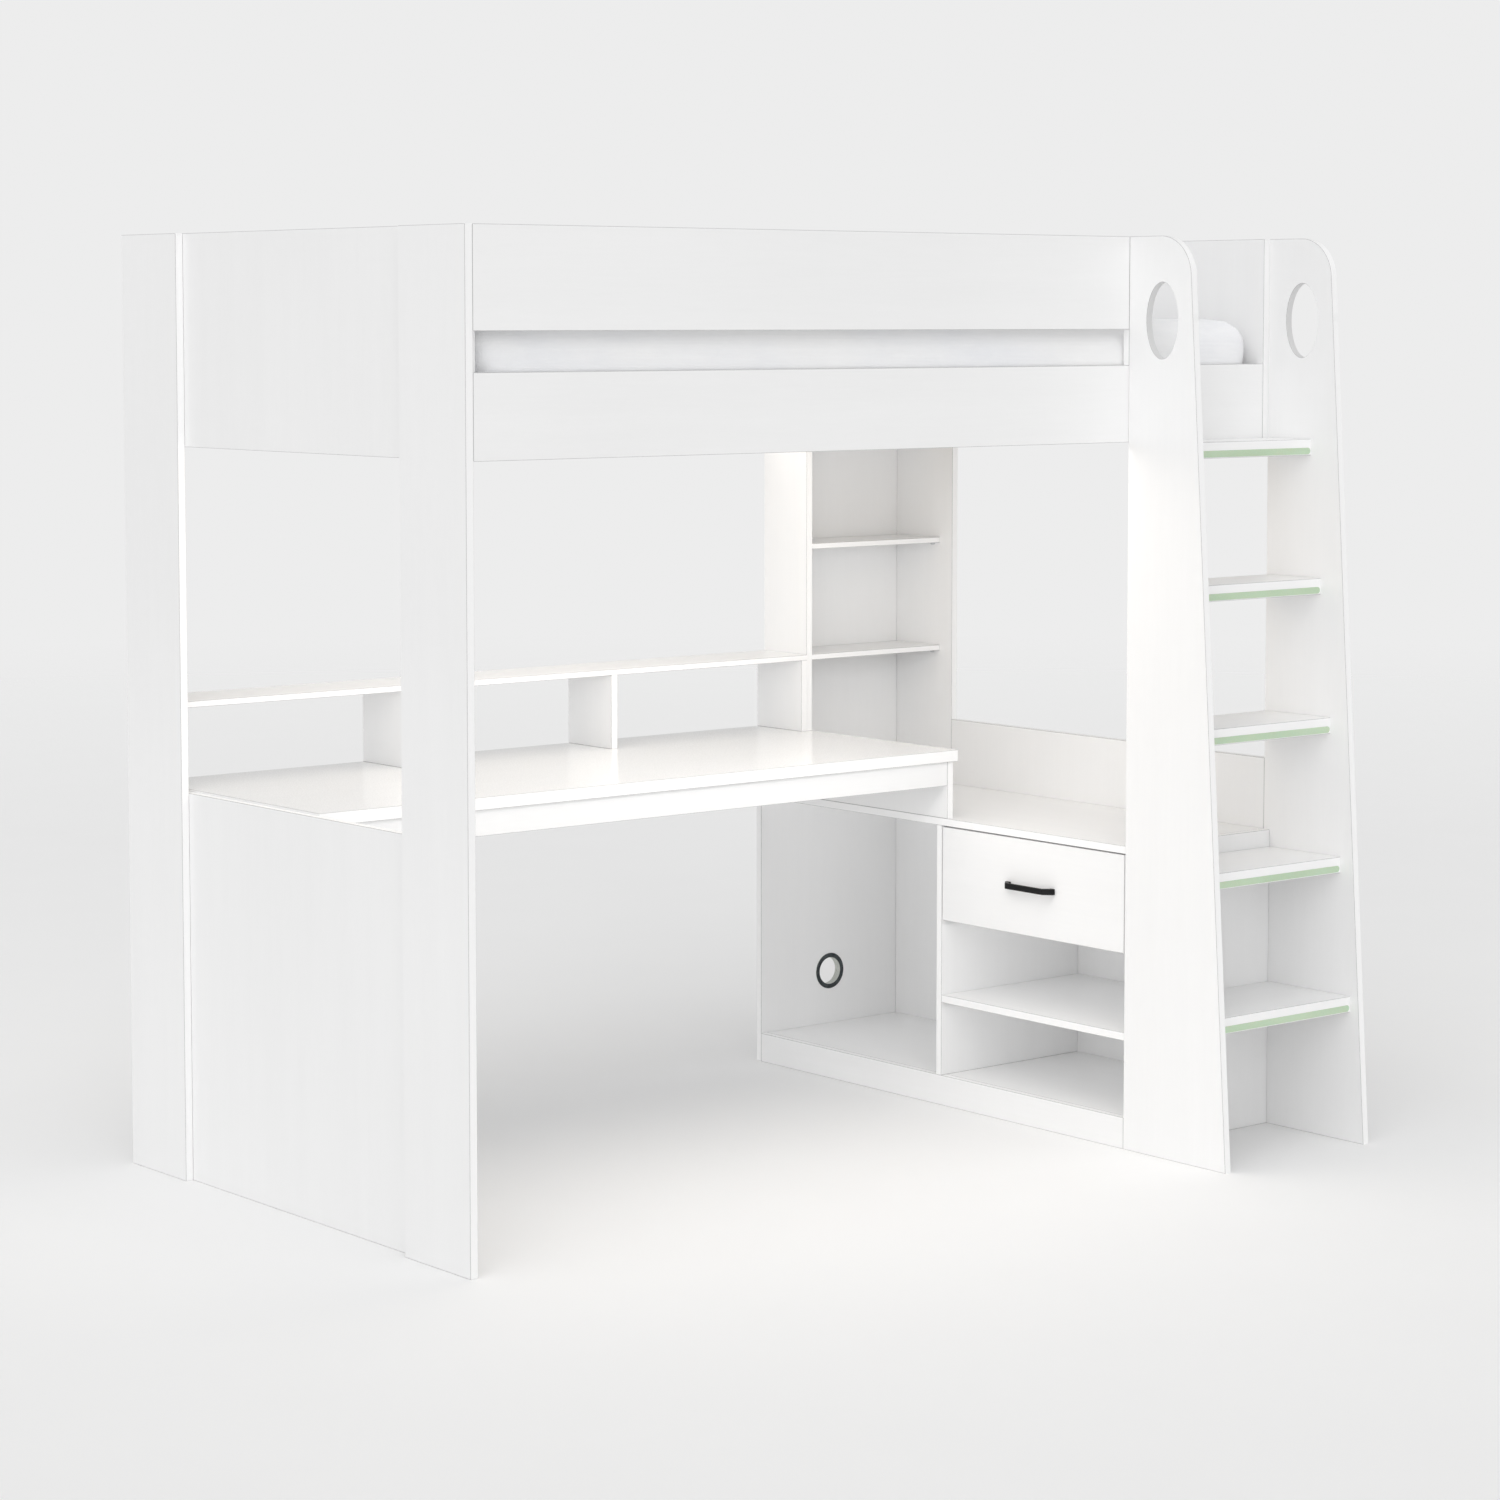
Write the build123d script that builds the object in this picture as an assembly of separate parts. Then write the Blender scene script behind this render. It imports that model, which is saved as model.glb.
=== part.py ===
from build123d import *
import os

# Loft bed with a desk, a bookcase and a storage cabinet under it, climbed by a shelf-step ladder.
# Millimetres.  X runs along the bed from its left end, Y runs from the front edge of the posts to
# the back, Z is up from the floor.  The ladder stands in front of the posts, at negative Y.
# On export everything moves so that the origin is on the floor, in the middle of the whole.

# ---- overall frame -------------------------------------------------------------------------------
LENGTH = 1990.0
DEPTH = 1140.0
HEIGHT = 1800.0
BOARD = 16.0                  # melamine board that nearly everything is cut from
THIN_BOARD = 12.0             # bookcase shelves, riser shelf and drawer sides
EDGE = 0.8                    # eased edge of the edge banding
POST_WIDTH = 200.0

# ---- bed -----------------------------------------------------------------------------------------
RAIL_BOTTOM = 1400.0
RAIL_HEIGHT = 150.0
GUARD_BOTTOM = 1620.0
PANEL_LAP = 160.0            # how far a lower end panel laps behind a post
LOWER_PANEL_LEFT_TOP = 744.0
LOWER_PANEL_RIGHT_TOP = 750.0
BEARER_DEPTH = 24.0
BEARER_HEIGHT = 30.0
SLAT_TOP = 1482.0
SLAT_WIDTH = 70.0
SLAT_COUNT = 13
SLAT_END_GAP = 1.0
MATTRESS = (1900.0, 1050.0, 160.0)
MATTRESS_FRONT_GAP = 2.0
MATTRESS_EDGE = 45.0
REST_GAP = 0.3                # soft solids stay this far from what carries them

# ---- ladder --------------------------------------------------------------------------------------
CABINET_X = 1576.0            # face of the cabinet and outer face of the left stringer
STRINGER_FOOT = 276.0
STRINGER_HEAD = 160.0
STRINGER_CORNER = 80.0
HAND_HOLE = (84.0, 148.0)
HAND_HOLE_CENTRE = (-89.0, 1637.0)
STEP_COUNT = 5
STEP_THICKNESS = 32.0
STEP_TOP_FIRST = 293.0
STEP_RISE = 277.0
STEP_REACH_FIRST = 237.0
STEP_REACH_LAST = 117.0
STRIP_HEIGHT = 13.0
STRIP_DROP = 23.5             # centre of the strip below the top of its step
STRIP_END_GAP = 3.0
STRIP_GROOVE = 1.5
STRIP_PROUD = 0.5

# ---- desk ----------------------------------------------------------------------------------------
DESK_TOP = 748.0
DESK_THICKNESS = 24.0
DESK_FRONT = 512.0
DESK_BACK = 1128.0
DESK_RIGHT = 1600.0
DESK_SETBACK = 6.0            # apron and spacer stand this far behind the front edge of the top
APRON_HEIGHT = 50.0
RISER_TOP = 914.0
RISER_DEPTH = 150.0
RISER_BAYS = 3

# ---- bookcase ------------------------------------------------------------------------------------
BOOKCASE_FRONT = 980.0
SHELF_TOPS = {"lower": 914.0, "upper": 1155.0}

# ---- cabinet -------------------------------------------------------------------------------------
CABINET_TOP = 605.0
PLINTH_HEIGHT = 63.0
DIVIDER_Y = 534.0
MID_SHELF_TOP = 233.0
DRAWER_BOTTOM = 391.0
DRAWER_GAP = 2.0
DRAWER_BOX_LENGTH = 350.0
DRAWER_BOX_BOTTOM = 405.0
DRAWER_BOX_HEIGHT = 140.0
DRAWER_SHEET = 3.0
GROMMET_CENTRE_Z = 181.0
GROMMET_FLANGE = 80.0
GROMMET_SLEEVE = 66.0
GROMMET_BORE = 60.0
GROMMET_FLANGE_THICKNESS = 2.0
HOLE_PLAY = 0.2               # how much wider a board's hole is than what sits in it

# ---- drawer runner, a three-part telescopic slide ------------------------------------------------
RUNNER_SPACE = 13.0           # between the drawer's side and the cabinet's wall
RUNNER_STEEL = 1.2
RUNNER_CENTRE_Z = 457.0
RUNNER_FRONT_GAP = 2.0
RUNNER_OUTER = (0.0, 10.0, 35.0)      # web start, flange end, height, counted from the wall
RUNNER_MIDDLE = (3.0, 10.5, 29.0)
RUNNER_INNER = (13.0, 6.0, 23.0)

# ---- handle --------------------------------------------------------------------------------------
HANDLE_SPACING = 128.0
HANDLE_STANDOFF = 22.0
HANDLE_BAR = 6.0
HANDLE_HEIGHT = 12.0
HANDLE_FOOT = 12.0
HANDLE_Z = 490.0
SCREW_RADIUS = 2.0
SCREW_HEAD_RADIUS = 4.0
SCREW_HEAD_HEIGHT = 2.5
SCREW_GRIP = 5.0              # how far the screw goes into the handle's foot

# ---- fittings ------------------------------------------------------------------------------------
CAM_RADIUS = 7.5
CAM_DEPTH = 12.5
CAM_INSET = 34.0              # from the end of the board to the cam's centre
CAM_MARGIN = 0.14             # from the board's long edge, as a share of its height
CAM_SLOT = (9.0, 1.6, 2.0)    # length, width and depth of each arm of the cross recess
PIN_RADIUS = 2.5
PIN_LENGTH = 16.0
BOOKCASE_PIN_INSET = 20.0
CABINET_PIN_INSET = 40.0

# ---- derived places ------------------------------------------------------------------------------
RIGHT_IN = LENGTH - BOARD                     # inner plane of the right posts, panel and stringer
PANEL_IN_LEFT = 2 * BOARD                     # inner face of the left end panels
PANEL_IN_RIGHT = LENGTH - 2 * BOARD           # inner face of the right upper end panel
BACK_IN = DEPTH - BOARD                       # inner face of whatever stands at the back
RAIL_TOP = RAIL_BOTTOM + RAIL_HEIGHT
STRINGER_IN = CABINET_X + BOARD
CABINET_UNDER_TOP = CABINET_TOP - BOARD
DESK_UNDER = DESK_TOP - DESK_THICKNESS
DESK_REST_Y = DESK_FRONT + DESK_SETBACK
BOOKCASE_SIDE_X = DESK_RIGHT - BOARD
RISER_FRONT = DESK_BACK - RISER_DEPTH
SLAT_BOTTOM = SLAT_TOP - BOARD
ORIGIN = Location((-LENGTH / 2, -(DEPTH - STRINGER_FOOT) / 2, 0))


def block(x0, x1, y0, y1, z0, z1):
    """A plain box between two corners."""
    centre = Pos((x0 + x1) / 2, (y0 + y1) / 2, (z0 + z1) / 2)
    return centre * Box(x1 - x0, y1 - y0, z1 - z0)


def board(x0, x1, y0, y1, z0, z1):
    """A board whose banded edges are all eased."""
    solid = block(x0, x1, y0, y1, z0, z1)
    return chamfer(solid.edges(), EDGE)


def rod(radius, start, direction, length):
    """A round bar from a point, along a unit direction."""
    plane = Plane(origin=start, z_dir=direction)
    return extrude(plane * Circle(radius), length)


# ---- posts and end panels ------------------------------------------------------------------------
def posts():
    return {
        "post_front_left": board(0, BOARD, 0, POST_WIDTH, 0, HEIGHT),
        "post_rear_left": board(0, BOARD, DEPTH - POST_WIDTH, DEPTH, 0, HEIGHT),
        "post_rear_right": board(RIGHT_IN, LENGTH, DEPTH - POST_WIDTH, DEPTH, 0, HEIGHT),
    }


def end_panels():
    lap_front = POST_WIDTH - PANEL_LAP
    lap_back = DEPTH - POST_WIDTH + PANEL_LAP
    right_back = DEPTH - POST_WIDTH
    return {
        "end_panel_upper_left": board(BOARD, PANEL_IN_LEFT, BOARD, BACK_IN, RAIL_BOTTOM, HEIGHT),
        "end_panel_lower_left": board(
            BOARD, PANEL_IN_LEFT, lap_front, lap_back, 0, LOWER_PANEL_LEFT_TOP
        ),
        "end_panel_upper_right": board(PANEL_IN_RIGHT, RIGHT_IN, 0, DEPTH, RAIL_BOTTOM, HEIGHT),
        "end_panel_lower_right": board(
            RIGHT_IN, LENGTH, 0, right_back, 0, LOWER_PANEL_RIGHT_TOP
        ),
    }


# ---- rails, with the cam fittings that pull them to the ends -------------------------------------
def rail_boards():
    """Each rail as its board and the side that its cams are on: +1 is towards +Y."""
    front = (0, BOARD)
    back = (BACK_IN, DEPTH)
    low = (RAIL_BOTTOM, RAIL_TOP)
    high = (GUARD_BOTTOM, HEIGHT)
    return {
        "side_rail_front": (BOARD, PANEL_IN_RIGHT, *front, *low, +1),
        "side_rail_rear": (BOARD, PANEL_IN_RIGHT, *back, *low, -1),
        "guard_rail_front": (BOARD, CABINET_X, *front, *high, +1),
        "guard_rail_rear": (BOARD, PANEL_IN_RIGHT, *back, *high, -1),
    }


def cam_places(x0, x1, y0, y1, z0, z1, side):
    """Centre of each cam on the board's inner face, two at each end."""
    face = y1 if side > 0 else y0
    margin = CAM_MARGIN * (z1 - z0)
    return [
        (x, face, z)
        for x in (x0 + CAM_INSET, x1 - CAM_INSET)
        for z in (z0 + margin, z1 - margin)
    ]


def rails_and_cams():
    parts = {}
    cams = []
    for name, (*size, side) in rail_boards().items():
        rail = board(*size)
        for place in cam_places(*size, side):
            inward = (0, -side, 0)
            rail -= rod(CAM_RADIUS + HOLE_PLAY / 2, place, inward, CAM_DEPTH)
            cams.append(cam_lock(place, inward))
        parts[name] = rail
    parts["cam_locks"] = Compound(children=cams)
    return parts


def cam_lock(place, inward):
    """A cam disc, flush with the board, with a cross recess for the screwdriver."""
    disc = rod(CAM_RADIUS, place, inward, CAM_DEPTH)
    long, wide, deep = CAM_SLOT
    disc -= Pos(*place) * Box(long, 2 * deep, wide)
    disc -= Pos(*place) * Box(wide, 2 * deep, long)
    return disc


def guard_upright():
    """Closes the end of the gap under the front guard, behind the left stringer."""
    return board(CABINET_X, STRINGER_IN, 0, BOARD, RAIL_TOP, HEIGHT)


# ---- slatted base and mattress -------------------------------------------------------------------
def slat_bearers():
    low = SLAT_BOTTOM - BEARER_HEIGHT
    span = (PANEL_IN_LEFT, PANEL_IN_RIGHT)
    return {
        "slat_bearer_front": board(*span, BOARD, BOARD + BEARER_DEPTH, low, SLAT_BOTTOM),
        "slat_bearer_rear": board(*span, BACK_IN - BEARER_DEPTH, BACK_IN, low, SLAT_BOTTOM),
    }


def slats():
    pitch = (PANEL_IN_RIGHT - PANEL_IN_LEFT) / SLAT_COUNT
    y0 = BOARD + SLAT_END_GAP
    y1 = BACK_IN - SLAT_END_GAP
    solids = []
    for i in range(SLAT_COUNT):
        x = PANEL_IN_LEFT + (i + 0.5) * pitch
        solids.append(
            board(x - SLAT_WIDTH / 2, x + SLAT_WIDTH / 2, y0, y1, SLAT_BOTTOM, SLAT_TOP)
        )
    return Compound(children=solids)


def mattress():
    length, width, height = MATTRESS
    x0 = (PANEL_IN_LEFT + PANEL_IN_RIGHT - length) / 2
    y0 = BOARD + MATTRESS_FRONT_GAP
    z0 = SLAT_TOP + REST_GAP
    solid = block(x0, x0 + length, y0, y0 + width, z0, z0 + height)
    return fillet(solid.edges(), MATTRESS_EDGE)


# ---- ladder --------------------------------------------------------------------------------------
def stringer(x0):
    """A side board with a leaning front edge, a rounded head and an oval hand hole."""
    outline = Polyline(
        (0, 0), (0, HEIGHT), (-STRINGER_HEAD, HEIGHT), (-STRINGER_FOOT, 0), close=True
    )
    face = make_face(outline)
    head_corner = face.vertices().sort_by(Axis.Y)[-2:].sort_by(Axis.X)[0]
    face = fillet(head_corner, STRINGER_CORNER)
    wide, tall = HAND_HOLE
    face -= Pos(*HAND_HOLE_CENTRE) * Ellipse(wide / 2, tall / 2)
    side_plane = Plane(origin=(x0, 0, 0), x_dir=(0, 1, 0), z_dir=(1, 0, 0))
    solid = extrude(side_plane * face, BOARD)
    rims = solid.faces().filter_by(Axis.X).edges()
    return chamfer(rims, EDGE)


def step_reach(i):
    """How far step i stands out in front of the posts, the first being the lowest."""
    return STEP_REACH_FIRST + (STEP_REACH_LAST - STEP_REACH_FIRST) * i / (STEP_COUNT - 1)


def strip_bar(i, y0, y1, trim):
    """The rounded bar of step i's glow strip, between two depths."""
    z = STEP_TOP_FIRST + i * STEP_RISE - STRIP_DROP
    length = RIGHT_IN - STRINGER_IN - 2 * STRIP_END_GAP - trim
    plane = Plane(
        origin=((STRINGER_IN + RIGHT_IN) / 2, y0, z), x_dir=(1, 0, 0), z_dir=(0, 1, 0)
    )
    return extrude(plane * SlotOverall(length, STRIP_HEIGHT - trim), y1 - y0)


def steps_and_strips():
    parts = {}
    strips = []
    for i in range(STEP_COUNT):
        top = STEP_TOP_FIRST + i * STEP_RISE
        front = -step_reach(i)
        back = -BOARD if top < CABINET_TOP else 0.0
        step = board(STRINGER_IN, RIGHT_IN, front, back, top - STEP_THICKNESS, top)
        step -= strip_bar(i, front, front + STRIP_GROOVE, 0.0)
        parts[f"step_{i + 1}"] = step
        strips.append(strip_bar(i, front - STRIP_PROUD, front + STRIP_GROOVE, HOLE_PLAY))
    parts["glow_strips"] = Compound(children=strips)
    return parts


# ---- desk ----------------------------------------------------------------------------------------
def desk():
    apron_low = DESK_UNDER - APRON_HEIGHT
    return {
        "desk_top": board(PANEL_IN_LEFT, DESK_RIGHT, DESK_FRONT, DESK_BACK, DESK_UNDER, DESK_TOP),
        "desk_apron": board(
            PANEL_IN_LEFT, CABINET_X, DESK_REST_Y, DESK_REST_Y + BOARD, apron_low, DESK_UNDER
        ),
        "desk_spacer": board(
            CABINET_X, STRINGER_IN, DESK_REST_Y, DESK_BACK, CABINET_TOP, DESK_UNDER
        ),
    }


def riser():
    shelf_low = RISER_TOP - THIN_BOARD
    bay = (BOOKCASE_SIDE_X - PANEL_IN_LEFT) / RISER_BAYS
    parts = {
        "riser_shelf": board(
            PANEL_IN_LEFT, BOOKCASE_SIDE_X, RISER_FRONT, DESK_BACK, shelf_low, RISER_TOP
        )
    }
    for i in range(RISER_BAYS):
        x1 = PANEL_IN_LEFT + (i + 1) * bay
        parts[f"riser_support_{i + 1}"] = board(
            x1 - BOARD, x1, RISER_FRONT, DESK_BACK, DESK_TOP, shelf_low
        )
    return parts


# ---- bookcase ------------------------------------------------------------------------------------
def bookcase():
    parts = {
        "bookcase_side": board(
            BOOKCASE_SIDE_X, DESK_RIGHT, BOOKCASE_FRONT, BACK_IN, DESK_TOP, RAIL_BOTTOM - BOARD
        ),
        "bookcase_back": board(
            DESK_RIGHT, RIGHT_IN, BACK_IN, DEPTH, CABINET_TOP, RAIL_BOTTOM - BOARD
        ),
        "bookcase_top": board(
            BOOKCASE_SIDE_X, RIGHT_IN, BOOKCASE_FRONT, DEPTH, RAIL_BOTTOM - BOARD, RAIL_BOTTOM
        ),
    }
    for level, top in SHELF_TOPS.items():
        parts[f"bookcase_shelf_{level}"] = board(
            DESK_RIGHT, RIGHT_IN, BOOKCASE_FRONT, BACK_IN, top - THIN_BOARD, top
        )
    return parts


# ---- cabinet -------------------------------------------------------------------------------------
def cabinet():
    return {
        "cabinet_top": board(CABINET_X, RIGHT_IN, 0, DEPTH, CABINET_UNDER_TOP, CABINET_TOP),
        "cabinet_bottom": board(
            STRINGER_IN, RIGHT_IN, 0, BACK_IN, PLINTH_HEIGHT - BOARD, PLINTH_HEIGHT
        ),
        "cabinet_plinth": board(CABINET_X, STRINGER_IN, 0, BACK_IN, 0, PLINTH_HEIGHT),
        "cabinet_side_front": board(STRINGER_IN, RIGHT_IN, -BOARD, 0, 0, CABINET_TOP),
        "cabinet_side_rear": cabinet_side_rear(),
        "cabinet_divider": board(
            CABINET_X, RIGHT_IN, DIVIDER_Y, DIVIDER_Y + BOARD, PLINTH_HEIGHT, CABINET_UNDER_TOP
        ),
        "cabinet_shelf": board(
            CABINET_X, RIGHT_IN, 0, DIVIDER_Y, MID_SHELF_TOP - BOARD, MID_SHELF_TOP
        ),
        "cable_grommet": cable_grommet(),
    }


def grommet_axis_start(y):
    return ((CABINET_X + RIGHT_IN) / 2, y, GROMMET_CENTRE_Z)


def cabinet_side_rear():
    panel = board(CABINET_X, RIGHT_IN, BACK_IN, DEPTH, 0, CABINET_UNDER_TOP)
    radius = (GROMMET_SLEEVE + HOLE_PLAY) / 2
    return panel - rod(radius, grommet_axis_start(BACK_IN), (0, 1, 0), BOARD)


def cable_grommet():
    """A flanged sleeve that lines the cable hole."""
    face = BACK_IN - GROMMET_FLANGE_THICKNESS
    along = (0, 1, 0)
    sleeve_length = GROMMET_FLANGE_THICKNESS + BOARD
    flange = rod(GROMMET_FLANGE / 2, grommet_axis_start(face), along, GROMMET_FLANGE_THICKNESS)
    sleeve = rod(GROMMET_SLEEVE / 2, grommet_axis_start(face), along, sleeve_length)
    ring = flange + sleeve
    ring -= rod(GROMMET_BORE / 2, grommet_axis_start(face), along, sleeve_length)
    rim = ring.edges().filter_by(GeomType.CIRCLE).group_by(Axis.Y)[0]
    return chamfer(rim, EDGE)


# ---- drawer --------------------------------------------------------------------------------------
def drawer():
    back = STRINGER_IN + DRAWER_BOX_LENGTH
    y0 = RUNNER_SPACE
    y1 = DIVIDER_Y - RUNNER_SPACE
    z0 = DRAWER_BOX_BOTTOM
    z1 = z0 + DRAWER_BOX_HEIGHT
    inner_y0 = y0 + THIN_BOARD
    inner_y1 = y1 - THIN_BOARD
    front = board(
        CABINET_X, STRINGER_IN, DRAWER_GAP, DIVIDER_Y - DRAWER_GAP,
        DRAWER_BOTTOM, CABINET_UNDER_TOP - DRAWER_GAP
    )
    for start in handle_screw_starts():
        front -= rod(SCREW_RADIUS + HOLE_PLAY, start, (-1, 0, 0), BOARD)
    return {
        "drawer_front": front,
        "drawer_side_front": board(STRINGER_IN, back, y0, inner_y0, z0, z1),
        "drawer_side_rear": board(STRINGER_IN, back, inner_y1, y1, z0, z1),
        "drawer_back": board(back - THIN_BOARD, back, inner_y0, inner_y1, z0, z1),
        "drawer_bottom": block(STRINGER_IN, back, y0, y1, z0 - DRAWER_SHEET, z0),
    }


def channel(profile, wall, side):
    """A steel channel along X: its web and two flanges, counted from the wall towards side."""
    web, flange_end, height = profile
    turn = 1 if flange_end > web else -1
    x0 = STRINGER_IN + RUNNER_FRONT_GAP
    x1 = x0 + DRAWER_BOX_LENGTH - RUNNER_FRONT_GAP
    z0 = RUNNER_CENTRE_Z - height / 2
    z1 = RUNNER_CENTRE_Z + height / 2

    def span(a, b):
        return sorted((wall + side * a, wall + side * b))

    solid = block(x0, x1, *span(web, web + turn * RUNNER_STEEL), z0, z1)
    solid += block(x0, x1, *span(web, flange_end), z0, z0 + RUNNER_STEEL)
    solid += block(x0, x1, *span(web, flange_end), z1 - RUNNER_STEEL, z1)
    return solid


def runners():
    walls = {"front": (0.0, 1), "rear": (DIVIDER_Y, -1)}
    profiles = {"outer": RUNNER_OUTER, "middle": RUNNER_MIDDLE, "inner": RUNNER_INNER}
    return {
        f"runner_{member}_{place}": channel(profile, wall, side)
        for place, (wall, side) in walls.items()
        for member, profile in profiles.items()
    }


def handle_feet():
    """Y of the two feet, centred on the drawer front."""
    centre = DIVIDER_Y / 2
    return (centre - HANDLE_SPACING / 2, centre + HANDLE_SPACING / 2)


def handle_screw_starts():
    return [(STRINGER_IN, y, HANDLE_Z) for y in handle_feet()]


def handle():
    """A flat bow handle: two feet, two legs at 45 degrees and a bar."""
    y0, y1 = handle_feet()
    face = CABINET_X
    foot = HANDLE_FOOT / 2
    out = face - HANDLE_STANDOFF
    inside = out + HANDLE_BAR
    rise = face - HANDLE_BAR - out
    outline = Polyline(
        (face, y0 - foot), (face, y0 + foot), (face - HANDLE_BAR, y0 + foot),
        (inside, y0 + foot + rise - HANDLE_BAR), (inside, y1 - foot - rise + HANDLE_BAR),
        (face - HANDLE_BAR, y1 - foot), (face, y1 - foot), (face, y1 + foot),
        (face - HANDLE_BAR, y1 + foot), (out, y1 + foot - rise), (out, y0 - foot + rise),
        (face - HANDLE_BAR, y0 - foot), close=True
    )
    plane = Plane.XY.offset(HANDLE_Z - HANDLE_HEIGHT / 2)
    bow = extrude(plane * make_face(outline), HANDLE_HEIGHT)
    bow = chamfer(bow.edges(), EDGE)
    for y in (y0, y1):
        bow -= rod(SCREW_RADIUS + HOLE_PLAY / 4, (face, y, HANDLE_Z), (-1, 0, 0), SCREW_GRIP)
    return bow


def handle_screws():
    screws = []
    for start in handle_screw_starts():
        shank = rod(SCREW_RADIUS, start, (-1, 0, 0), BOARD + SCREW_GRIP)
        head = rod(SCREW_HEAD_RADIUS, start, (1, 0, 0), SCREW_HEAD_HEIGHT)
        screws.append(shank + chamfer(head.edges().group_by(Axis.X)[-1], EDGE))
    return Compound(children=screws)


# ---- shelf pins ----------------------------------------------------------------------------------
def pins_along_x():
    """Pins under the bookcase shelves, half in the side board or the post."""
    ends = {"bookcase_side": DESK_RIGHT, "post_rear_right": RIGHT_IN}
    return [
        (node, (x - PIN_LENGTH / 2, y, top - THIN_BOARD - PIN_RADIUS), (1, 0, 0))
        for node, x in ends.items()
        for top in SHELF_TOPS.values()
        for y in (BOOKCASE_FRONT + BOOKCASE_PIN_INSET, BACK_IN - BOOKCASE_PIN_INSET)
    ]


def pins_along_y():
    """Pins under the cabinet's shelf, half in its end board or the divider."""
    ends = {"cabinet_side_front": 0.0, "cabinet_divider": DIVIDER_Y}
    z = MID_SHELF_TOP - BOARD - PIN_RADIUS
    return [
        (node, (x, y - PIN_LENGTH / 2, z), (0, 1, 0))
        for node, y in ends.items()
        for x in (CABINET_X + CABINET_PIN_INSET, RIGHT_IN - CABINET_PIN_INSET)
    ]


def add_shelf_pins(parts):
    pins = []
    for node, start, direction in pins_along_x() + pins_along_y():
        parts[node] -= rod(PIN_RADIUS + HOLE_PLAY / 2, start, direction, PIN_LENGTH)
        pins.append(rod(PIN_RADIUS, start, direction, PIN_LENGTH))
    parts["shelf_pins"] = Compound(children=pins)


# ---- assembly ------------------------------------------------------------------------------------
def build():
    parts = {
        **posts(),
        **end_panels(),
        **rails_and_cams(),
        "guard_upright": guard_upright(),
        **slat_bearers(),
        "slats": slats(),
        "mattress": mattress(),
        "ladder_stringer_left": stringer(CABINET_X),
        "ladder_stringer_right": stringer(RIGHT_IN),
        **steps_and_strips(),
        **desk(),
        **riser(),
        **bookcase(),
        **cabinet(),
        **drawer(),
        **runners(),
        "handle": handle(),
        "handle_screws": handle_screws(),
    }
    add_shelf_pins(parts)
    return parts


os.makedirs("parts", exist_ok=True)
for node, shape in build().items():
    export_step(shape.moved(ORIGIN), f"parts/{node}.step")
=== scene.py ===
import math

import bmesh
import bpy
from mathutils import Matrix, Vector, noise


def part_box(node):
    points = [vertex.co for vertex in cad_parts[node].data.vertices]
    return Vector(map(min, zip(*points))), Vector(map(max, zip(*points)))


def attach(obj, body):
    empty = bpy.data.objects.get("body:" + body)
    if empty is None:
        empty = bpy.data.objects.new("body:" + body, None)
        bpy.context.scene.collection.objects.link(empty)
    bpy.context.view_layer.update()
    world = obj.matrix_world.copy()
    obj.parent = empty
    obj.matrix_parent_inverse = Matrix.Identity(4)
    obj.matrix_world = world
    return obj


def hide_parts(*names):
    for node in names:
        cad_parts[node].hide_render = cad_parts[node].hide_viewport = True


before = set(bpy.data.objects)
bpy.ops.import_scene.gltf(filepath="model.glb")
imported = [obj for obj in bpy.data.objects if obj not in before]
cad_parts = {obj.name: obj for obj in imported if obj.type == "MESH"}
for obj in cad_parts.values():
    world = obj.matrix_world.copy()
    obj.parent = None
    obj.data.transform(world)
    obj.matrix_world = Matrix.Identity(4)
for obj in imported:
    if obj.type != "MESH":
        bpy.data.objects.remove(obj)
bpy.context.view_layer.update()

# Metres throughout, in the row frame: X along the bed, Y to its back, Z up, origin on the floor.

# ---- camera ----------------------------------------------------------------------------------
CAMERA_AIM = Vector((0.0403, 0.0739, 1.0875))
CAMERA_DISTANCE = 7.2882
CAMERA_HEADING = math.radians(39.44)      # turned from +Y towards +X
CAMERA_TILT = math.radians(4.347)         # downwards
CAMERA_LENS = 88.7
CAMERA_SHIFT = -0.10                      # keeps the uprights nearly parallel

# ---- light and floor -------------------------------------------------------------------------
SKY_TONE = 0.846                          # the backdrop, as camera rays see it
SKY_LIGHT = 0.57                          # the same sky, as it lights the object
SUNS = {                                  # direction to the lamp, strength and spread in degrees
    "studio_key": ((-0.30, -0.28, 0.91), 0.80, 60),
    "studio_fill": ((-0.66, -0.66, 0.18), 0.93, 60),
}
# The photo is nearly shadowless, so unseen soft lamps, in watts, fill the room under the bed.
BED_LAMP_POWER = 4.4
KNEE_LAMP_POWER = 1.2
FRONT_LAMP_POWER = 3.0
BAY_LAMPS = {"niche": 0.26, "shelf": 0.19, "floor": 0.14}
LAMP_INSET = 0.20                         # keeps the ceiling lamp off the left posts
LAMP_GAP = 0.012                          # between a soft panel and the board behind it
FLOOR_TONE = 0.92
FLOOR_UNEVEN = 0.003
FLOOR_RADIUS = 16.0
FLOOR_FADE = (5.0, 12.0)                  # where the floor starts and ends melting into the sky

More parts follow.
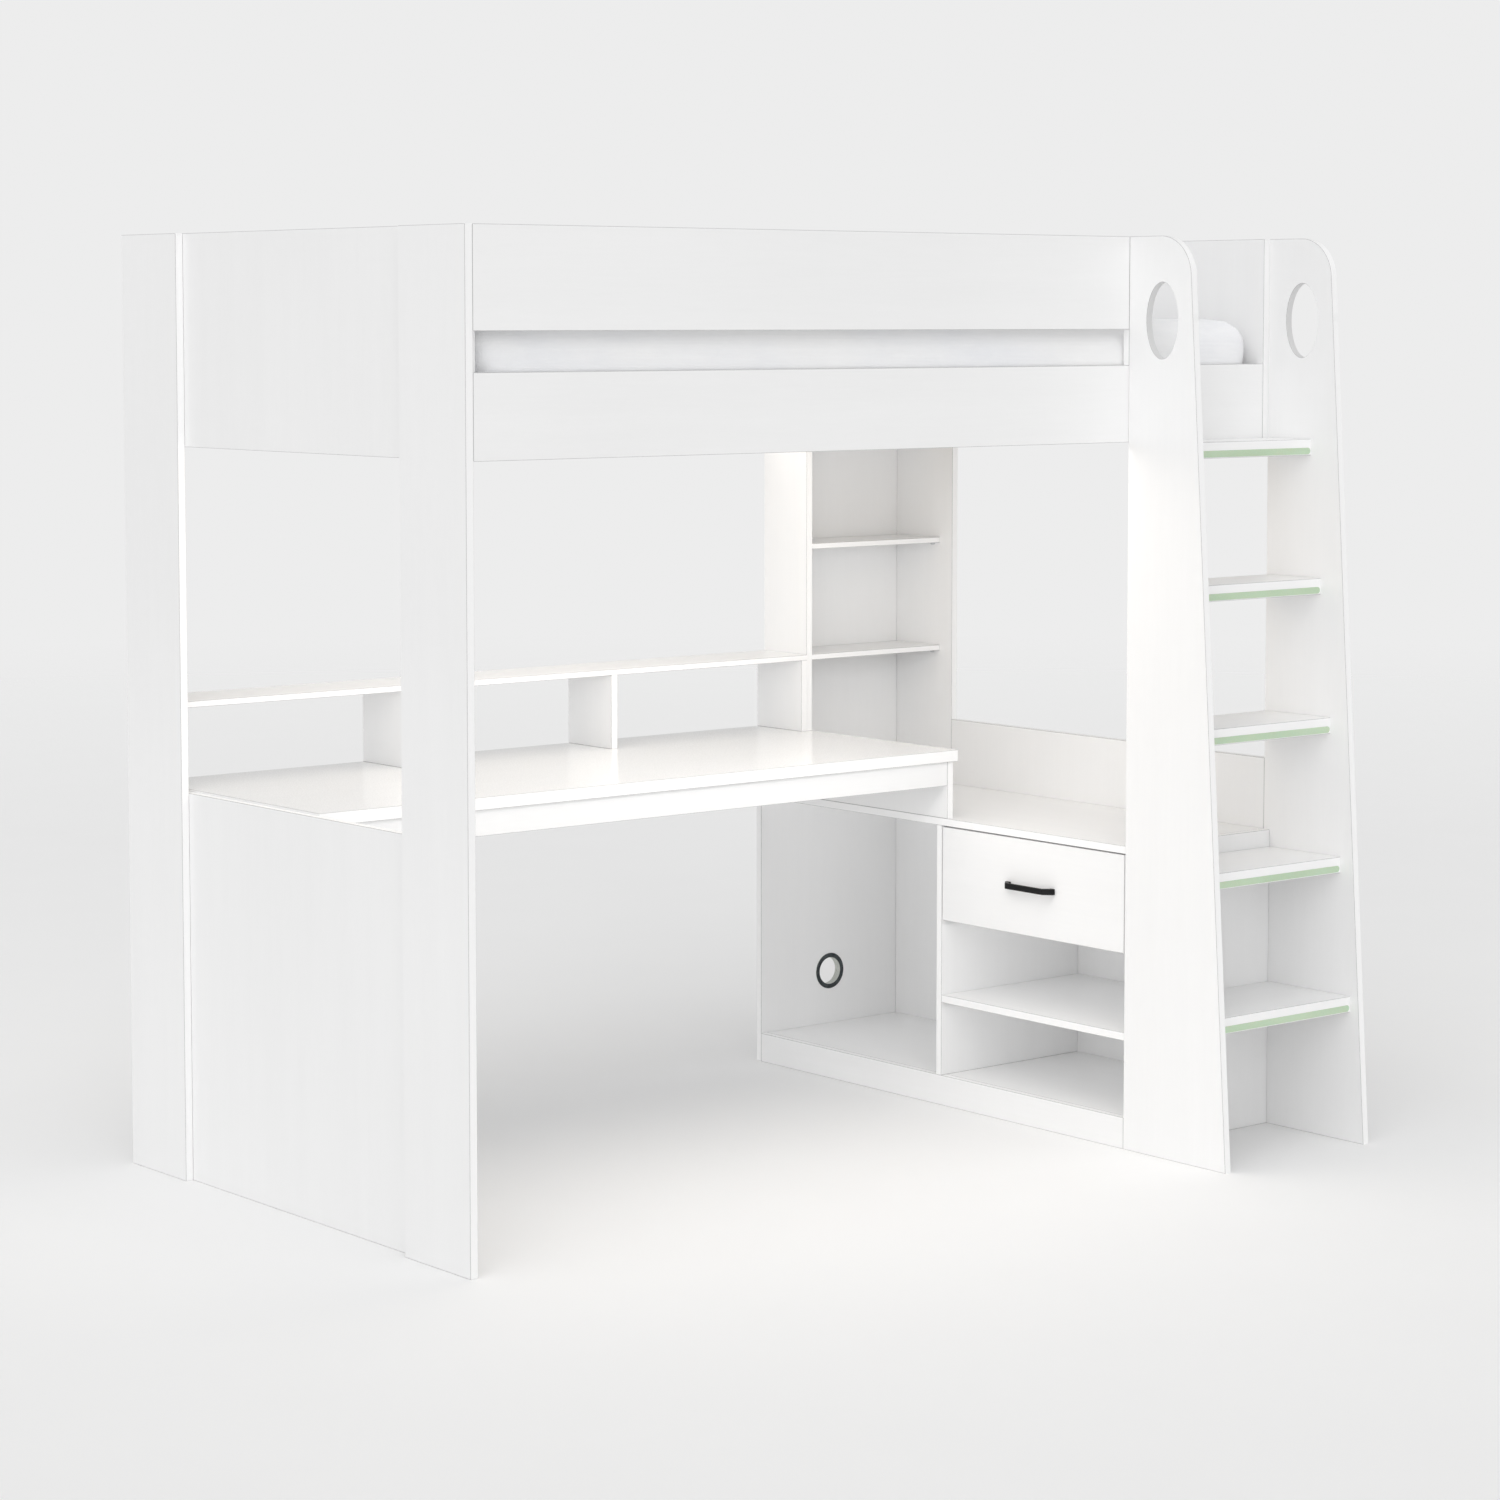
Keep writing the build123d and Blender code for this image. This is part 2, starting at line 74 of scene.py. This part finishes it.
# ---- mattress --------------------------------------------------------------------------------
VOXEL = 0.015
INSET = 0.006                             # the cover starts this much smaller and swells
TOP_CORNER = 0.048                        # rounding of the top edges
SIDE_CORNER = 0.026                       # rounding of the upright corners
FOOT_CORNER = 0.014
END_BULGE = 0.008                         # the padded ends stand out past the plain slab
QUILT_PITCH = 0.155
QUILT_MARGIN = 0.10
QUILT_LINE = (0.03, 0.13)                 # half widths of a sewn line, as shares of the pitch
QUILT_SINK = 0.006
SWELL_CAP = 0.011
CLOTH_FRAMES = 20
CLOTH_PRESSURE = 4.0
CLOTH_QUALITY = 5
SKIN = 0.004                              # how far from the top or foot still counts as on it
TOP_BAND = 0.03                           # depth of the top that its sewn lines sink
RIPPLE = 0.0022
RIPPLE_SCALE = (2.1, 26)                  # along the sides and up them
RIPPLE_FADE = (0.02, 0.05)
SIDE_PLAY = 0.0005                        # kept inside the space at the sides
TOP_PLAY = 0.004                          # allowed past it at the top


# ---- node helpers ----------------------------------------------------------------------------
class Shader:
    """A material's node tree, with short ways to add and join nodes."""

    def __init__(self, name):
        self.material = bpy.data.materials.new(name)
        self.material.use_nodes = True
        self.tree = self.material.node_tree
        self.surface = self.tree.nodes["Principled BSDF"]
        self.place = self.add("ShaderNodeTexCoord").outputs["Object"]
        self.facing = self.add("ShaderNodeTexCoord").outputs["Normal"]

    def add(self, kind, **settings):
        node = self.tree.nodes.new(kind)
        for key, value in settings.items():
            setattr(node, key, value)
        return node

    def join(self, source, socket):
        self.tree.links.new(source, socket)

    def feed(self, value, socket):
        """Links a socket, or sets a plain value."""
        if isinstance(value, bpy.types.NodeSocket):
            self.join(value, socket)
        else:
            socket.default_value = value

    def math(self, operation, a, b=0.0):
        node = self.add("ShaderNodeMath", operation=operation)
        self.feed(a, node.inputs[0])
        self.feed(b, node.inputs[1])
        return node.outputs[0]

    def stretched(self, scale):
        """Object coordinates, scaled along each axis."""
        node = self.add("ShaderNodeMapping")
        node.inputs["Scale"].default_value = scale
        self.join(self.place, node.inputs["Vector"])
        return node.outputs["Vector"]

    def noise(self, scale, detail=4.0, roughness=0.5, along=(1, 1, 1), distortion=0.0):
        node = self.add("ShaderNodeTexNoise")
        node.inputs["Scale"].default_value = scale
        node.inputs["Detail"].default_value = detail
        node.inputs["Roughness"].default_value = roughness
        node.inputs["Distortion"].default_value = distortion
        self.join(self.stretched(along), node.inputs["Vector"])
        return node.outputs["Fac"]

    def remap(self, value, low, high, start=0.0, end=1.0):
        node = self.add("ShaderNodeMapRange")
        self.feed(value, node.inputs["Value"])
        node.inputs["From Min"].default_value = start
        node.inputs["From Max"].default_value = end
        node.inputs["To Min"].default_value = low
        node.inputs["To Max"].default_value = high
        return node.outputs["Result"]

    def mix(self, factor, a, b, blend="MIX"):
        node = self.add("ShaderNodeMix", data_type="RGBA", blend_type=blend)
        self.feed(factor, node.inputs["Factor"])
        self.feed(a, node.inputs["A"])
        self.feed(b, node.inputs["B"])
        return node.outputs["Result"]

    def bump(self, height, strength, distance):
        node = self.add("ShaderNodeBump")
        node.inputs["Strength"].default_value = strength
        node.inputs["Distance"].default_value = distance
        self.join(height, node.inputs["Height"])
        self.join(node.outputs["Normal"], self.surface.inputs["Normal"])

    def set(self, **values):
        for key, value in values.items():
            self.feed(value, self.surface.inputs[key.replace("_", " ")])


def grey(tone):
    return (tone, tone, tone, 1.0)


# ---- materials -------------------------------------------------------------------------------
FACE_TONE = 0.915
BAND_TONE = 0.96
EDGE_SHADE_TONE = 0.50                          # painted shade: the thin grey outline of an eased edge, drawn on its chamfer in place of the shade in the crease
HOLE_SHADE_TONE = 0.70                          # painted shade on the wall of a hand hole
HOLE_REACH = 0.078                        # from the hole's centre to past its farthest wall
HOLE_FADE = 0.004
BOARD_GLOSS, DESK_GLOSS = 0.36, 0.17      # roughness
GRAIN = {"x": (0.05, 1, 1), "y": (1, 0.05, 1), "z": (1, 1, 0.05)}
THIN_AXES = "xyz"


def white_board(thin, along, gloss, edge_tone, hole):
    """Melamine board: faces with a faint printed grain, and smoother, brighter edge banding, with
    painted shade on the chamfers of its eased edges and on the walls of any hand hole.
    """
    s = Shader(f"white_board_{len(made)}")
    split = s.add("ShaderNodeSeparateXYZ")
    s.join(s.facing, split.inputs[0])
    square_on = s.math("ABSOLUTE", split.outputs[THIN_AXES.index(thin)])
    band = s.remap(square_on, 1.0, 0.0, start=0.45, end=0.6)

    fine = s.noise(190.0, detail=3.0, roughness=0.6, along=GRAIN[along])
    broad = s.noise(22.0, detail=2.0, along=GRAIN[along], distortion=0.3)
    cloud = s.noise(1.6, detail=1.0)
    grain = s.math("ADD", s.math("MULTIPLY", fine, 0.5), s.math("MULTIPLY", broad, 0.5))
    tone = s.remap(grain, 0.984, 1.007, start=0.3, end=0.7)
    tone = s.math("MULTIPLY", tone, s.remap(cloud, 0.99, 1.008, start=0.35, end=0.65))
    shade = s.add("ShaderNodeCombineColor")
    for socket in shade.inputs:
        s.feed(tone, socket)
    face = s.mix(1.0, shade.outputs[0], grey(FACE_TONE), blend="MULTIPLY")
    board = s.mix(band, face, grey(edge_tone))
    if hole:
        # Painted shade: the walls of the hand hole are darkened.
        board = s.mix(s.math("MULTIPLY", band, hole_shade_mask(s, hole)), board, grey(HOLE_SHADE_TONE))
    # Painted shade: the chamfer faces of the eased edges are greyed to stand for the shade in the
    # crease between boards.
    edge_shade_mask = s.math(
        "MULTIPLY",
        s.remap(square_on, 0.0, 1.0, start=0.3, end=0.45),
        s.remap(square_on, 1.0, 0.0, start=0.85, end=0.95),
    )
    s.set(Base_Color=s.mix(edge_shade_mask, board, grey(EDGE_SHADE_TONE)))

    pores = s.noise(420.0, detail=2.0)
    rough = s.remap(pores, gloss - 0.05, gloss + 0.06, start=0.35, end=0.65)
    s.set(Roughness=rough, Specular_IOR_Level=0.5)
    height = s.math("ADD", s.math("MULTIPLY", fine, 0.7), s.math("MULTIPLY", pores, 0.3))
    s.bump(height, 0.10, 0.0006)
    return s.material


def hole_shade_mask(s, hole):
    """1 near a round hole through an end board, where its wall is painted in shade, 0 elsewhere.
    """
    split = s.add("ShaderNodeSeparateXYZ")
    s.join(s.place, split.inputs[0])
    across = s.math("POWER", s.math("SUBTRACT", split.outputs[1], hole[0]), 2.0)
    up = s.math("POWER", s.math("SUBTRACT", split.outputs[2], hole[1]), 2.0)
    reach = s.math("SQRT", s.math("ADD", across, up))
    return s.remap(reach, 1.0, 0.0, start=HOLE_REACH, end=HOLE_REACH + HOLE_FADE)


def pine(along):
    """Planed pine: growth rings cut lengthways, darker late wood and fine pores."""
    s = Shader(f"pine_{along}")
    stretch = {"x": (0.06, 1, 1), "y": (1, 0.06, 1)}[along]
    warp = s.noise(7.0, detail=3.0, along=stretch, distortion=0.6)
    rings = s.math("SINE", s.math("MULTIPLY", warp, 75.0))
    late = s.remap(rings, 0.0, 1.0, start=-0.2, end=1.0)
    pores = s.noise(260.0, detail=4.0, roughness=0.7, along=stretch)
    light, dark = (0.80, 0.67, 0.49, 1), (0.62, 0.46, 0.29, 1)
    wood = s.mix(s.math("MULTIPLY", late, 0.55), light, dark)
    dusty = s.mix(s.remap(pores, 0.0, 0.35, start=0.4, end=0.7), wood, (0.85, 0.75, 0.60, 1))
    s.set(Base_Color=dusty, Roughness=s.remap(pores, 0.5, 0.66, start=0.3, end=0.7))
    s.bump(s.math("ADD", s.math("MULTIPLY", late, 0.3), pores), 0.25, 0.0008)
    return s.material


def ticking():
    """Knitted mattress cover: fine stitches in two directions, on cloth that is faintly blue."""
    s = Shader("mattress_ticking")
    waves = []
    for direction in "XYZ":
        rib = s.add("ShaderNodeTexWave", bands_direction=direction, wave_profile="SIN")
        rib.inputs["Scale"].default_value = 120.0
        rib.inputs["Distortion"].default_value = 1.2
        rib.inputs["Detail"].default_value = 1.0
        s.join(s.place, rib.inputs["Vector"])
        waves.append(rib.outputs["Fac"])
    knit = s.math("ADD", s.math("MULTIPLY", waves[0], waves[1]), waves[2])
    slub = s.noise(38.0, detail=5.0, roughness=0.62, along=(0.35, 1, 1))
    mottle = s.noise(7.0, detail=3.0, along=(0.4, 1, 1))
    cool, warm = (0.87, 0.877, 0.90, 1), (0.915, 0.915, 0.917, 1)
    cloth = s.mix(s.remap(mottle, 0.0, 1.0, start=0.38, end=0.64), cool, warm)
    threads = s.mix(s.remap(slub, 0.0, 0.42, start=0.35, end=0.7), cloth, (0.955, 0.955, 0.955, 1))
    s.set(Base_Color=threads, Roughness=s.remap(knit, 0.82, 0.94), Specular_IOR_Level=0.25)
    s.set(Sheen_Weight=0.25, Sheen_Roughness=0.5)
    s.bump(s.math("ADD", s.math("MULTIPLY", knit, 0.6), slub), 0.45, 0.0009)
    return s.material


def luminous_plastic():
    """Pale green strip, milky and speckled with pigment."""
    s = Shader("luminous_plastic")
    speck = s.noise(900.0, detail=2.0, roughness=0.7)
    cloud = s.noise(14.0, detail=2.0, along=(0.3, 1, 1))
    cloudy = s.remap(cloud, 0.0, 1.0, start=0.35, end=0.65)
    base = s.mix(cloudy, (0.47, 0.62, 0.43, 1), (0.56, 0.70, 0.51, 1))
    milky = s.mix(s.remap(speck, 0.0, 0.5, start=0.45, end=0.75), base, (0.68, 0.80, 0.63, 1))
    s.set(Base_Color=milky, Roughness=s.remap(speck, 0.32, 0.46, start=0.3, end=0.7))
    s.set(Subsurface_Weight=0.15, Subsurface_Scale=0.004, Coat_Weight=0.15, Coat_Roughness=0.2)
    s.bump(speck, 0.12, 0.0003)
    return s.material


def powder_coat():
    """Near-black powder coat with its fine pebbled skin, worn a little paler in patches."""
    s = Shader("black_powder_coat")
    pebble = s.noise(1500.0, detail=2.0, roughness=0.6)
    smear = s.noise(60.0, detail=3.0)
    worn = s.remap(smear, 0.0, 1.0, start=0.4, end=0.7)
    black = s.mix(worn, (0.004, 0.004, 0.0045, 1), (0.009, 0.009, 0.010, 1))
    s.set(Base_Color=black, Specular_IOR_Level=0.22)
    s.set(Roughness=s.remap(pebble, 0.36, 0.52, start=0.3, end=0.7))
    s.bump(pebble, 0.35, 0.0002)
    return s.material


def brushed(name, tone, rough, along):
    """Metal with fine brushing along one axis and faint stains."""
    s = Shader(name)
    lines = s.noise(900.0, detail=3.0, roughness=0.7, along=along)
    stain = s.noise(35.0, detail=3.0)
    dark = tuple(c * 0.78 for c in tone[:3]) + (1,)
    metal = s.mix(s.remap(lines, 0.0, 0.6, start=0.3, end=0.7), tone, dark)
    pale = tuple(min(c * 1.12, 1) for c in tone[:3]) + (1,)
    mottled = s.mix(s.remap(stain, 0.0, 0.5, start=0.4, end=0.65), metal, pale)
    s.set(Base_Color=mottled, Metallic=1.0)
    s.set(Roughness=s.remap(lines, rough - 0.07, rough + 0.09, start=0.3, end=0.7))
    s.bump(lines, 0.18, 0.0002)
    return s.material


def turned_ring():
    """Gunmetal ring, dark on its flange and paler with lathe lines down its throat."""
    s = Shader("grommet_metal")
    split = s.add("ShaderNodeSeparateXYZ")
    s.join(s.facing, split.inputs[0])
    flange = s.remap(s.math("ABSOLUTE", split.outputs[1]), 0.0, 1.0, start=0.4, end=0.7)
    lathe = s.noise(1100.0, detail=3.0, roughness=0.6, along=(0.1, 1, 0.1))
    stain = s.noise(60.0, detail=3.0)
    lined = s.remap(lathe, 0.0, 1.0, start=0.35, end=0.65)
    throat = s.mix(lined, (0.50, 0.52, 0.48, 1), (0.66, 0.68, 0.64, 1))
    stained = s.remap(stain, 0.0, 1.0, start=0.35, end=0.65)
    face = s.mix(stained, (0.050, 0.058, 0.062, 1), (0.085, 0.095, 0.10, 1))
    s.set(Base_Color=s.mix(flange, throat, face), Metallic=0.85)
    s.set(Roughness=s.remap(lathe, 0.26, 0.42, start=0.3, end=0.7))
    s.bump(lathe, 0.15, 0.0002)
    return s.material


def hardboard():
    """White-faced drawer bottom with the weave of pressed fibres."""
    s = Shader("drawer_hardboard")
    fibre = s.noise(130.0, detail=5.0, roughness=0.7, along=(0.5, 1, 1))
    woven = s.remap(fibre, 0.0, 1.0, start=0.35, end=0.65)
    s.set(Base_Color=s.mix(woven, grey(0.78), grey(0.86)))
    s.set(Roughness=s.remap(fibre, 0.48, 0.62, start=0.3, end=0.7))
    s.bump(fibre, 0.12, 0.0004)
    return s.material


def floor_paint():
    """A pale floor that melts into the sky with distance from the object."""
    s = Shader("studio_floor")
    faint = s.noise(3.0, detail=3.0)
    uneven = s.remap(faint, 0.0, 1.0, start=0.3, end=0.7)
    tone = s.mix(uneven, grey(FLOOR_TONE - FLOOR_UNEVEN), grey(FLOOR_TONE + FLOOR_UNEVEN))
    s.set(Base_Color=tone, Roughness=0.9, Specular_IOR_Level=0.05)
    length = s.add("ShaderNodeVectorMath", operation="LENGTH")
    s.join(s.place, length.inputs[0])
    near, far = FLOOR_FADE
    s.set(Alpha=s.remap(length.outputs["Value"], 1.0, 0.0, start=near, end=far))
    return s.material


# ---- what each CAD node is made of -----------------------------------------------------------
FIXED_FINISHES = {
    "glow_strips": luminous_plastic,
    "handle": powder_coat,
    "cable_grommet": turned_ring,
    "drawer_bottom": hardboard,
    "slats": lambda: pine("y"),
}
ZINC_NODES = ("cam_locks", "shelf_pins", "handle_screws", "runner_")
HORIZONTAL_GRAIN = ("rail", "riser_shelf", "apron", "step_", "drawer_", "desk_top", "plinth")
GLOSSY_NODES = ("desk_top",)
HAND_HOLE = (0.187, 0.163)                # behind a stringer's foot and below its top
PLAIN_EDGES = ("end_panel_upper_right",)   # its front edge continues the side rail's face
made = {}


def kept(key, maker):
    """One material for each finish, made the first time it is asked for."""
    if key not in made:
        made[key] = maker()
    return made[key]


def board_finish(name):
    low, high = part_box(name)
    spans = high - low
    thin = min(range(3), key=lambda i: spans[i])
    flat_axes = [i for i in range(3) if i != thin]
    along = max(flat_axes, key=lambda i: spans[i])
    if not any(word in name for word in HORIZONTAL_GRAIN) and 2 in flat_axes:
        along = 2
    gloss = DESK_GLOSS if name in GLOSSY_NODES else BOARD_GLOSS
    edge_tone = FACE_TONE if name in PLAIN_EDGES else BAND_TONE
    hole = None
    if name.startswith("ladder_stringer"):
        hole = (low.y + HAND_HOLE[0], high.z - HAND_HOLE[1])
    key = (THIN_AXES[thin], THIN_AXES[along], gloss, edge_tone, hole)
    return kept(key, lambda: white_board(*key))


def finish_of(name):
    if name in FIXED_FINISHES:
        return kept(name, FIXED_FINISHES[name])
    if name.startswith(ZINC_NODES):
        return kept("zinc", lambda: brushed("zinc", (0.62, 0.635, 0.65, 1), 0.32, (0.1, 1, 1)))
    if name.startswith("slat_bearer"):
        return kept("pine_x", lambda: pine("x"))
    return board_finish(name)


def paint(piece, material):
    piece.data.materials.clear()
    piece.data.materials.append(material)


def finish_frame():
    for name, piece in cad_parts.items():
        if name != "mattress":
            paint(piece, finish_of(name))


# ---- mattress --------------------------------------------------------------------------------
def smooth_step(value, start, end):
    t = max(0.0, min(1.0, (value - start) / (end - start)))
    return t * t * (3 - 2 * t)


def mattress_form(low, high):
    """A rounded slab, a little smaller than the space it will swell into."""
    size = high - low
    mesh = bpy.data.meshes.new("mattress_cover")
    shape = bmesh.new()
    bmesh.ops.create_cube(shape, size=1.0)
    bmesh.ops.scale(shape, vec=size - Vector((INSET, INSET, INSET)) * 2, verts=shape.verts)
    bmesh.ops.translate(shape, vec=(low + high) / 2, verts=shape.verts)
    upright = [e for e in shape.edges if abs(e.verts[0].co.z - e.verts[1].co.z) > 0.01]
    round_edges(shape, upright, SIDE_CORNER, 5)
    round_edges(shape, sharp_edges(shape, high.z - INSET), TOP_CORNER, 8)
    round_edges(shape, sharp_edges(shape, low.z + INSET), FOOT_CORNER, 4)
    shape.to_mesh(mesh)
    shape.free()
    return mesh


def round_edges(shape, edges, radius, segments):
    bmesh.ops.bevel(
        shape, geom=edges, offset=radius, segments=segments, profile=0.5, affect="EDGES"
    )


def sharp_edges(shape, height):
    """The edges round the top or the bottom of the slab."""
    return [
        edge
        for edge in shape.edges
        if all(abs(v.co.z - height) < 1e-4 for v in edge.verts)
        and edge.calc_face_angle(0) > math.radians(60)
    ]


def quilt_depth(point, low, high):
    """How near a point on the top is to a sewn line, from 0 between lines to 1 on one."""
    edge = min(point.x - low.x, high.x - point.x, point.y - low.y, high.y - point.y)
    if edge < QUILT_MARGIN:
        return 0.0
    u = (point.x + point.y) / QUILT_PITCH
    v = (point.x - point.y) / QUILT_PITCH
    nearest = min(abs(u - round(u)), abs(v - round(v)))
    return 1 - smooth_step(nearest, *QUILT_LINE)


def swell(piece, low, high):
    """Inflates the cover as cloth, held along its sewn lines and where it rests."""
    held = piece.vertex_groups.new(name="held")
    top = high.z - INSET
    for vertex in piece.data.vertices:
        point = vertex.co
        weight = 0.0
        if point.z > top - SKIN:
            weight = quilt_depth(point, low, high)
        if point.z < low.z + INSET + SKIN:
            weight = 1.0
        held.add([vertex.index], weight, "REPLACE")
    start = [vertex.co.copy() for vertex in piece.data.vertices]
    cloth = piece.modifiers.new("cloth", "CLOTH")
    cloth.settings.use_pressure = True
    cloth.settings.uniform_pressure_force = CLOTH_PRESSURE
    cloth.settings.effector_weights.gravity = 0.0
    cloth.settings.vertex_group_mass = held.name
    cloth.settings.quality = CLOTH_QUALITY
    cloth.point_cache.frame_start = 1
    cloth.point_cache.frame_end = CLOTH_FRAMES
    scene = bpy.context.scene
    for step in range(1, CLOTH_FRAMES + 1):
        scene.frame_set(step)
    seen = piece.evaluated_get(bpy.context.evaluated_depsgraph_get())
    moved = [vertex.co.copy() for vertex in seen.data.vertices]
    piece.modifiers.remove(cloth)
    for vertex, before, after in zip(piece.data.vertices, start, moved):
        travel = after - before
        if travel.length > SWELL_CAP:
            travel *= SWELL_CAP / travel.length
        vertex.co = before + travel
    scene.frame_set(1)


def settle(piece, low, high):
    """Draws in the sewn lines, adds the cover's slack ripples and keeps it in its space."""
    along, up = RIPPLE_SCALE
    for vertex in piece.data.vertices:
        point = vertex.co
        if point.z > high.z - TOP_BAND:
            point.z -= QUILT_SINK * quilt_depth(point, low, high)
        ripple = noise.noise(Vector((point.x * along, point.y * along, point.z * up))) * RIPPLE
        below_top = smooth_step(high.z - point.z, *RIPPLE_FADE)
        side = below_top * smooth_step(point.z - low.z, *RIPPLE_FADE)
        outward = Vector((point.x - (low.x + high.x) / 2, point.y - (low.y + high.y) / 2, 0))
        if side > 0 and outward.length > 0:
            point += outward.normalized() * ripple * side
        for axis in (0, 1):
            point[axis] = max(low[axis] + SIDE_PLAY, min(high[axis] - SIDE_PLAY, point[axis]))
        point.z = max(low.z, min(high.z + TOP_PLAY, point.z))


def remesh(piece):
    finer = piece.modifiers.new("voxels", "REMESH")
    finer.mode = "VOXEL"
    finer.voxel_size = VOXEL
    apply(piece)


def apply(piece):
    """Turns a piece's modifiers into its mesh."""
    seen = piece.evaluated_get(bpy.context.evaluated_depsgraph_get())
    mesh = bpy.data.meshes.new_from_object(seen)
    piece.modifiers.clear()
    piece.data = mesh


def mattress():
    low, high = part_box("mattress")
    low.x -= END_BULGE
    high.x += END_BULGE
    piece = bpy.data.objects.new("mattress_cover", mattress_form(low, high))
    bpy.context.scene.collection.objects.link(piece)
    bpy.context.view_layer.update()
    remesh(piece)
    swell(piece, low, high)
    settle(piece, low, high)
    piece.modifiers.new("subdivision", "SUBSURF").levels = 1
    apply(piece)
    for face in piece.data.polygons:
        face.use_smooth = True
    paint(piece, ticking())
    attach(piece, "frame")
    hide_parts("mattress")


# ---- stage -----------------------------------------------------------------------------------
def floor():
    mesh = bpy.data.meshes.new("studio_floor")
    shape = bmesh.new()
    bmesh.ops.create_circle(shape, cap_ends=True, radius=FLOOR_RADIUS, segments=96)
    shape.to_mesh(mesh)
    shape.free()
    piece = bpy.data.objects.new("studio_floor", mesh)
    bpy.context.scene.collection.objects.link(piece)
    paint(piece, floor_paint())
    return piece


def light(ground):
    """An even sky, two soft suns and the lamps under the bed, with a backdrop of its own tone."""
    sky = bpy.data.worlds.new("studio_sky")
    sky.use_nodes = True
    tree = sky.node_tree
    lighting = tree.nodes["Background"]
    backdrop = tree.nodes.new("ShaderNodeBackground")
    for node, strength in ((lighting, SKY_LIGHT), (backdrop, SKY_TONE)):
        node.inputs["Color"].default_value = grey(1.0)
        node.inputs["Strength"].default_value = strength
    seen = tree.nodes.new("ShaderNodeLightPath").outputs["Is Camera Ray"]
    mix = tree.nodes.new("ShaderNodeMixShader")
    tree.links.new(seen, mix.inputs[0])
    tree.links.new(lighting.outputs[0], mix.inputs[1])
    tree.links.new(backdrop.outputs[0], mix.inputs[2])
    tree.links.new(mix.outputs[0], tree.nodes["World Output"].inputs["Surface"])
    bpy.context.scene.world = sky
    for name, (towards, strength, spread) in SUNS.items():
        lamp = bpy.data.lights.new(name, "SUN")
        lamp.energy = strength
        lamp.angle = math.radians(spread)
        hang(lamp, Vector((0, 0, 0)), Vector(towards))
    inner_lamps(ground)


def hang(lamp, place, towards):
    """Puts a lamp in place, shining away from a direction."""
    holder = bpy.data.objects.new(lamp.name, lamp)
    holder.location = place
    holder.rotation_mode = "QUATERNION"
    holder.rotation_quaternion = towards.to_track_quat("Z", "Y")
    bpy.context.scene.collection.objects.link(holder)
    return holder


def soft_panel(name, low, high, towards, power):
    """A soft lamp that fills a flat box, isn't seen itself."""
    spans = [high[i] - low[i] for i in range(3) if high[i] - low[i] > LAMP_GAP]
    lamp = bpy.data.lights.new(name, "AREA")
    lamp.shape = "RECTANGLE"
    lamp.size, lamp.size_y = spans
    lamp.energy = power
    holder = hang(lamp, (low + high) / 2, towards)
    holder.visible_camera = False
    holder.visible_glossy = False
    return holder


def spare(lamp, piece):
    """Stops a lamp from lighting one piece."""
    unlit = bpy.data.collections.new(f"{lamp.name}_unlit")
    unlit.objects.link(piece)
    unlit.collection_objects[0].light_linking.link_state = "EXCLUDE"
    lamp.light_linking.receiver_collection = unlit


def inner_lamps(ground):
    """Light the room under the bed from its ceiling, its closed left end and its open front."""
    rail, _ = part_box("side_rail_front")
    desk_low, desk_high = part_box("desk_top")
    cabinet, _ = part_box("cabinet_top")
    _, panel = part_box("end_panel_lower_left")
    ceiling = rail.z - LAMP_GAP
    soft_panel(
        "studio_under_bed",
        Vector((desk_low.x + LAMP_INSET, rail.y, ceiling)),
        Vector((cabinet.x, desk_high.y, ceiling)),
        Vector((0, 0, 1)),
        BED_LAMP_POWER,
    )
    knee = soft_panel(
        "studio_knee_space",
        Vector((panel.x + LAMP_GAP, rail.y, LAMP_GAP)),
        Vector((panel.x + LAMP_GAP, desk_high.y, desk_low.z - LAMP_GAP)),
        Vector((-1, 0, 0)),
        KNEE_LAMP_POWER,
    )
    front = soft_panel(
        "studio_desk_front",
        Vector((desk_low.x, rail.y, (desk_high.z + ceiling) / 2)),
        Vector((desk_high.x, rail.y, ceiling)),
        Vector((0, -1, 0)),
        FRONT_LAMP_POWER,
    )
    for lamp in (knee, front):
        spare(lamp, ground)
    bay_lamps()


def bay_lamps():
    """Light each open bay of the cabinet from its ceiling."""
    top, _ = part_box("cabinet_top")
    divider_low, divider_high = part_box("cabinet_divider")
    shelf_low, shelf_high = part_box("cabinet_shelf")
    _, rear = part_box("cabinet_side_rear")
    drawer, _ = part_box("drawer_front")
    bays = {
        "niche": (divider_high.y, rear.y, top.z),
        "shelf": (shelf_low.y, divider_low.y, drawer.z),
        "floor": (shelf_low.y, divider_low.y, shelf_low.z),
    }
    for name, (near, far, ceiling) in bays.items():
        soft_panel(
            f"studio_{name}_bay",
            Vector((shelf_low.x, near, ceiling - LAMP_GAP)),
            Vector((shelf_high.x, far, ceiling - LAMP_GAP)),
            Vector((0, 0, 1)),
            BAY_LAMPS[name],
        )


def camera():
    lens = bpy.data.cameras.new("camera")
    lens.lens = CAMERA_LENS
    lens.shift_y = CAMERA_SHIFT
    view = Vector(
        (
            math.sin(CAMERA_HEADING) * math.cos(CAMERA_TILT),
            math.cos(CAMERA_HEADING) * math.cos(CAMERA_TILT),
            -math.sin(CAMERA_TILT),
        )
    )
    body = bpy.data.objects.new("camera", lens)
    body.location = CAMERA_AIM - view * CAMERA_DISTANCE
    body.rotation_mode = "QUATERNION"
    body.rotation_quaternion = view.to_track_quat("-Z", "Y")
    bpy.context.scene.collection.objects.link(body)
    bpy.context.scene.camera = body


camera()
light(floor())
finish_frame()
mattress()
bpy.context.scene.view_settings.view_transform = "Standard"
